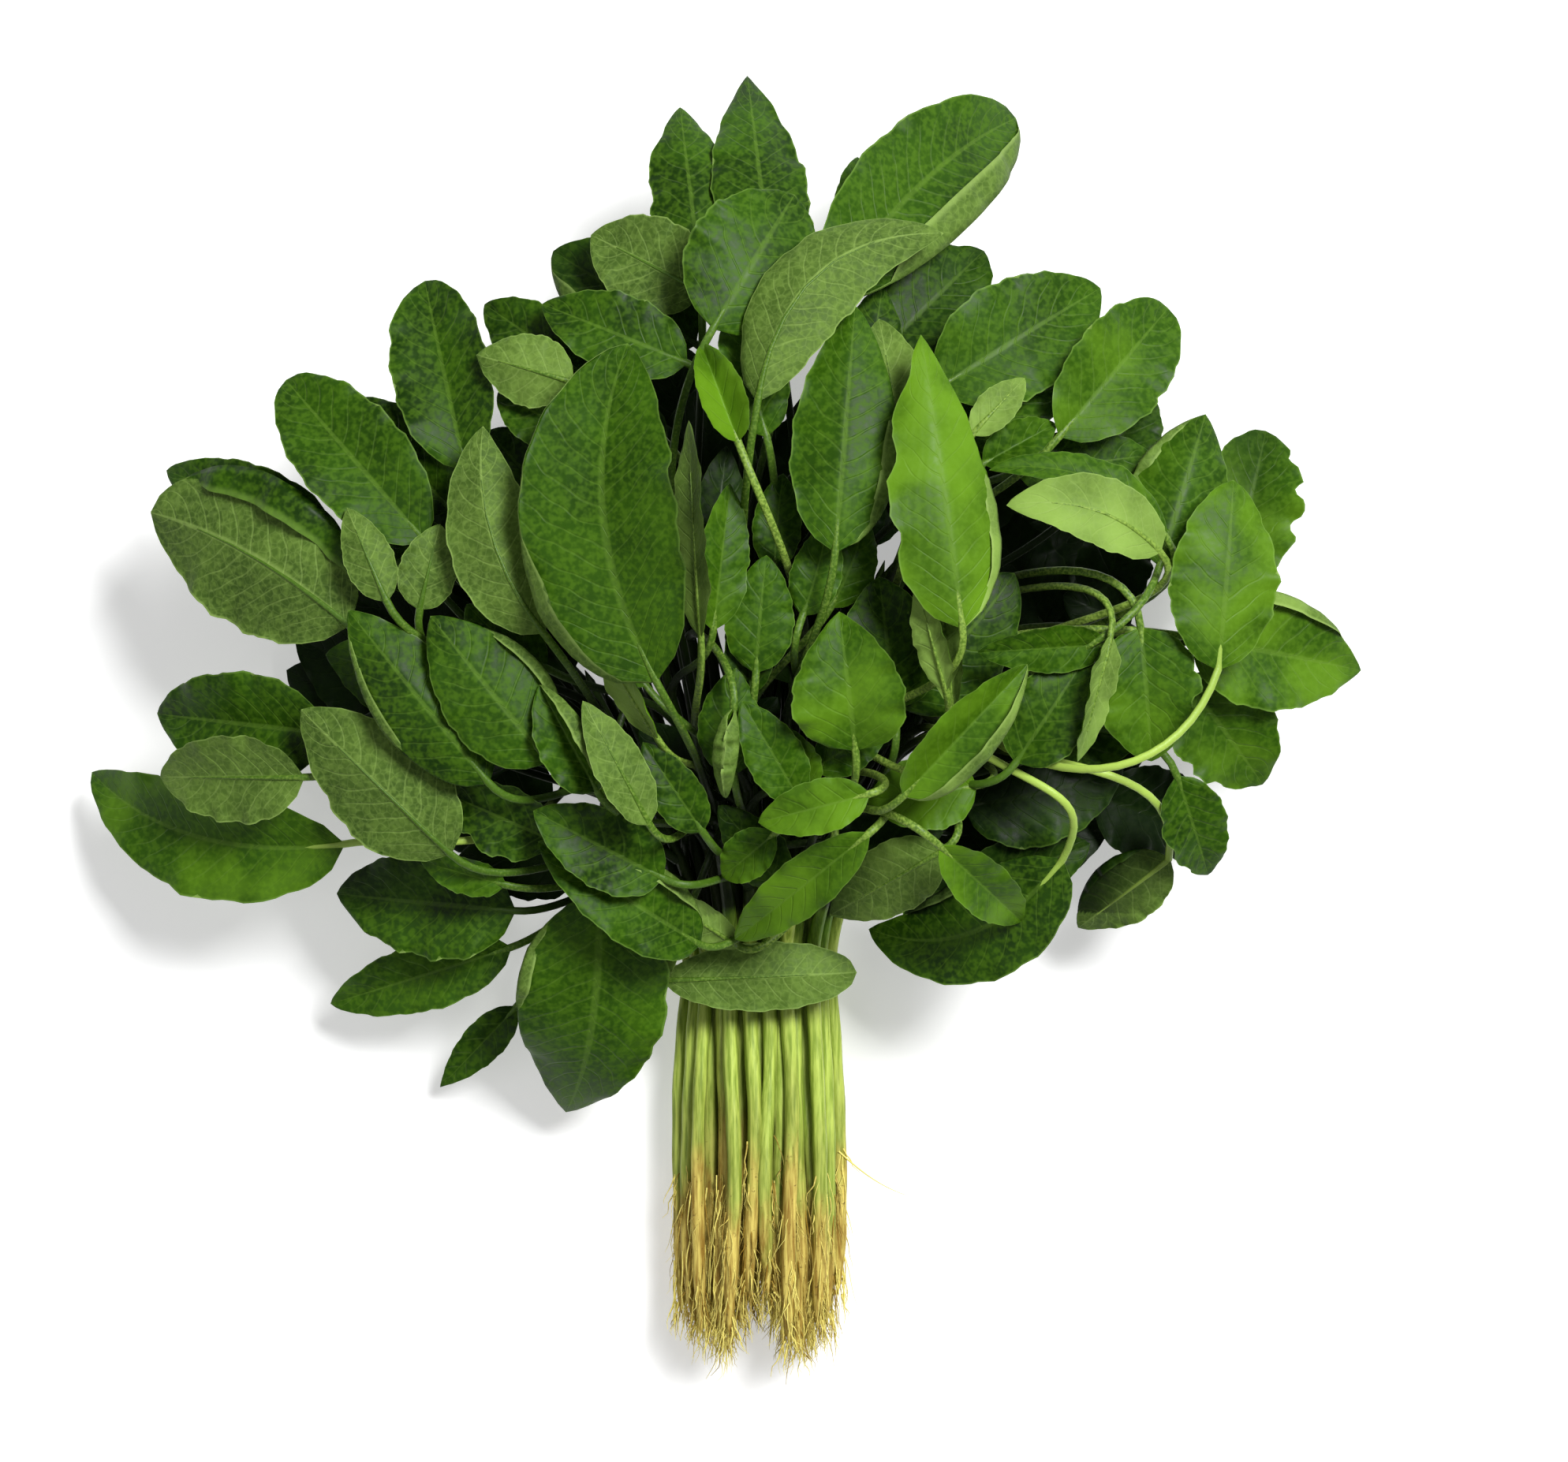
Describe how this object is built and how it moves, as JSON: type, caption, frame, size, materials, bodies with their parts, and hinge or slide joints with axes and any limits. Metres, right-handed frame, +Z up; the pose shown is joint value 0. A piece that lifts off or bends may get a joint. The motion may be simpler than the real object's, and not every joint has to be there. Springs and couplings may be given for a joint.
{
  "type": "amaranth greens bunch",
  "caption": "Laid-down bunch of rooted leafy amaranth plants: thin stems held by a tie, leaves spread in a wide low dome.",
  "frame": {"origin": "middle of the small flat spot under the tie, on the surface that the bunch lies on", "axes": "+Y from the roots towards the leaf crown, +X to the right seen from above, +Z up from the surface"},
  "size_m": [0.3264, 0.3278, 0.1125],
  "materials": {
    "greens": "soft leaf, slightly waxy",
    "tie": "dull flat strip"
  },
  "bodies": {
    "root": {"plant_01": "greens", "plant_02": "greens", "plant_03": "greens", "plant_04": "greens", "plant_05": "greens", "plant_06": "greens", "plant_07": "greens", "plant_08": "greens", "plant_09": "greens", "plant_10": "greens", "plant_11": "greens", "plant_12": "greens", "plant_13": "greens", "plant_14": "greens", "plant_15": "greens", "plant_16": "greens", "plant_17": "greens", "plant_18": "greens", "plant_19": "greens", "plant_20": "greens", "plant_21": "greens", "plant_22": "greens", "plant_23": "greens", "plant_24": "greens", "plant_25": "greens", "plant_26": "greens", "plant_27": "greens", "plant_28": "greens", "plant_29": "greens", "plant_30": "greens", "plant_31": "greens", "plant_32": "greens", "plant_33": "greens", "plant_34": "greens", "plant_35": "greens", "plant_36": "greens", "plant_37": "greens", "plant_38": "greens", "plant_39": "greens", "plant_40": "greens", "plant_41": "greens", "plant_42": "greens", "plant_43": "greens", "plant_44": "greens", "plant_45": "greens", "plant_46": "greens", "plant_47": "greens", "tie": "tie"}
  },
  "joints": []
}
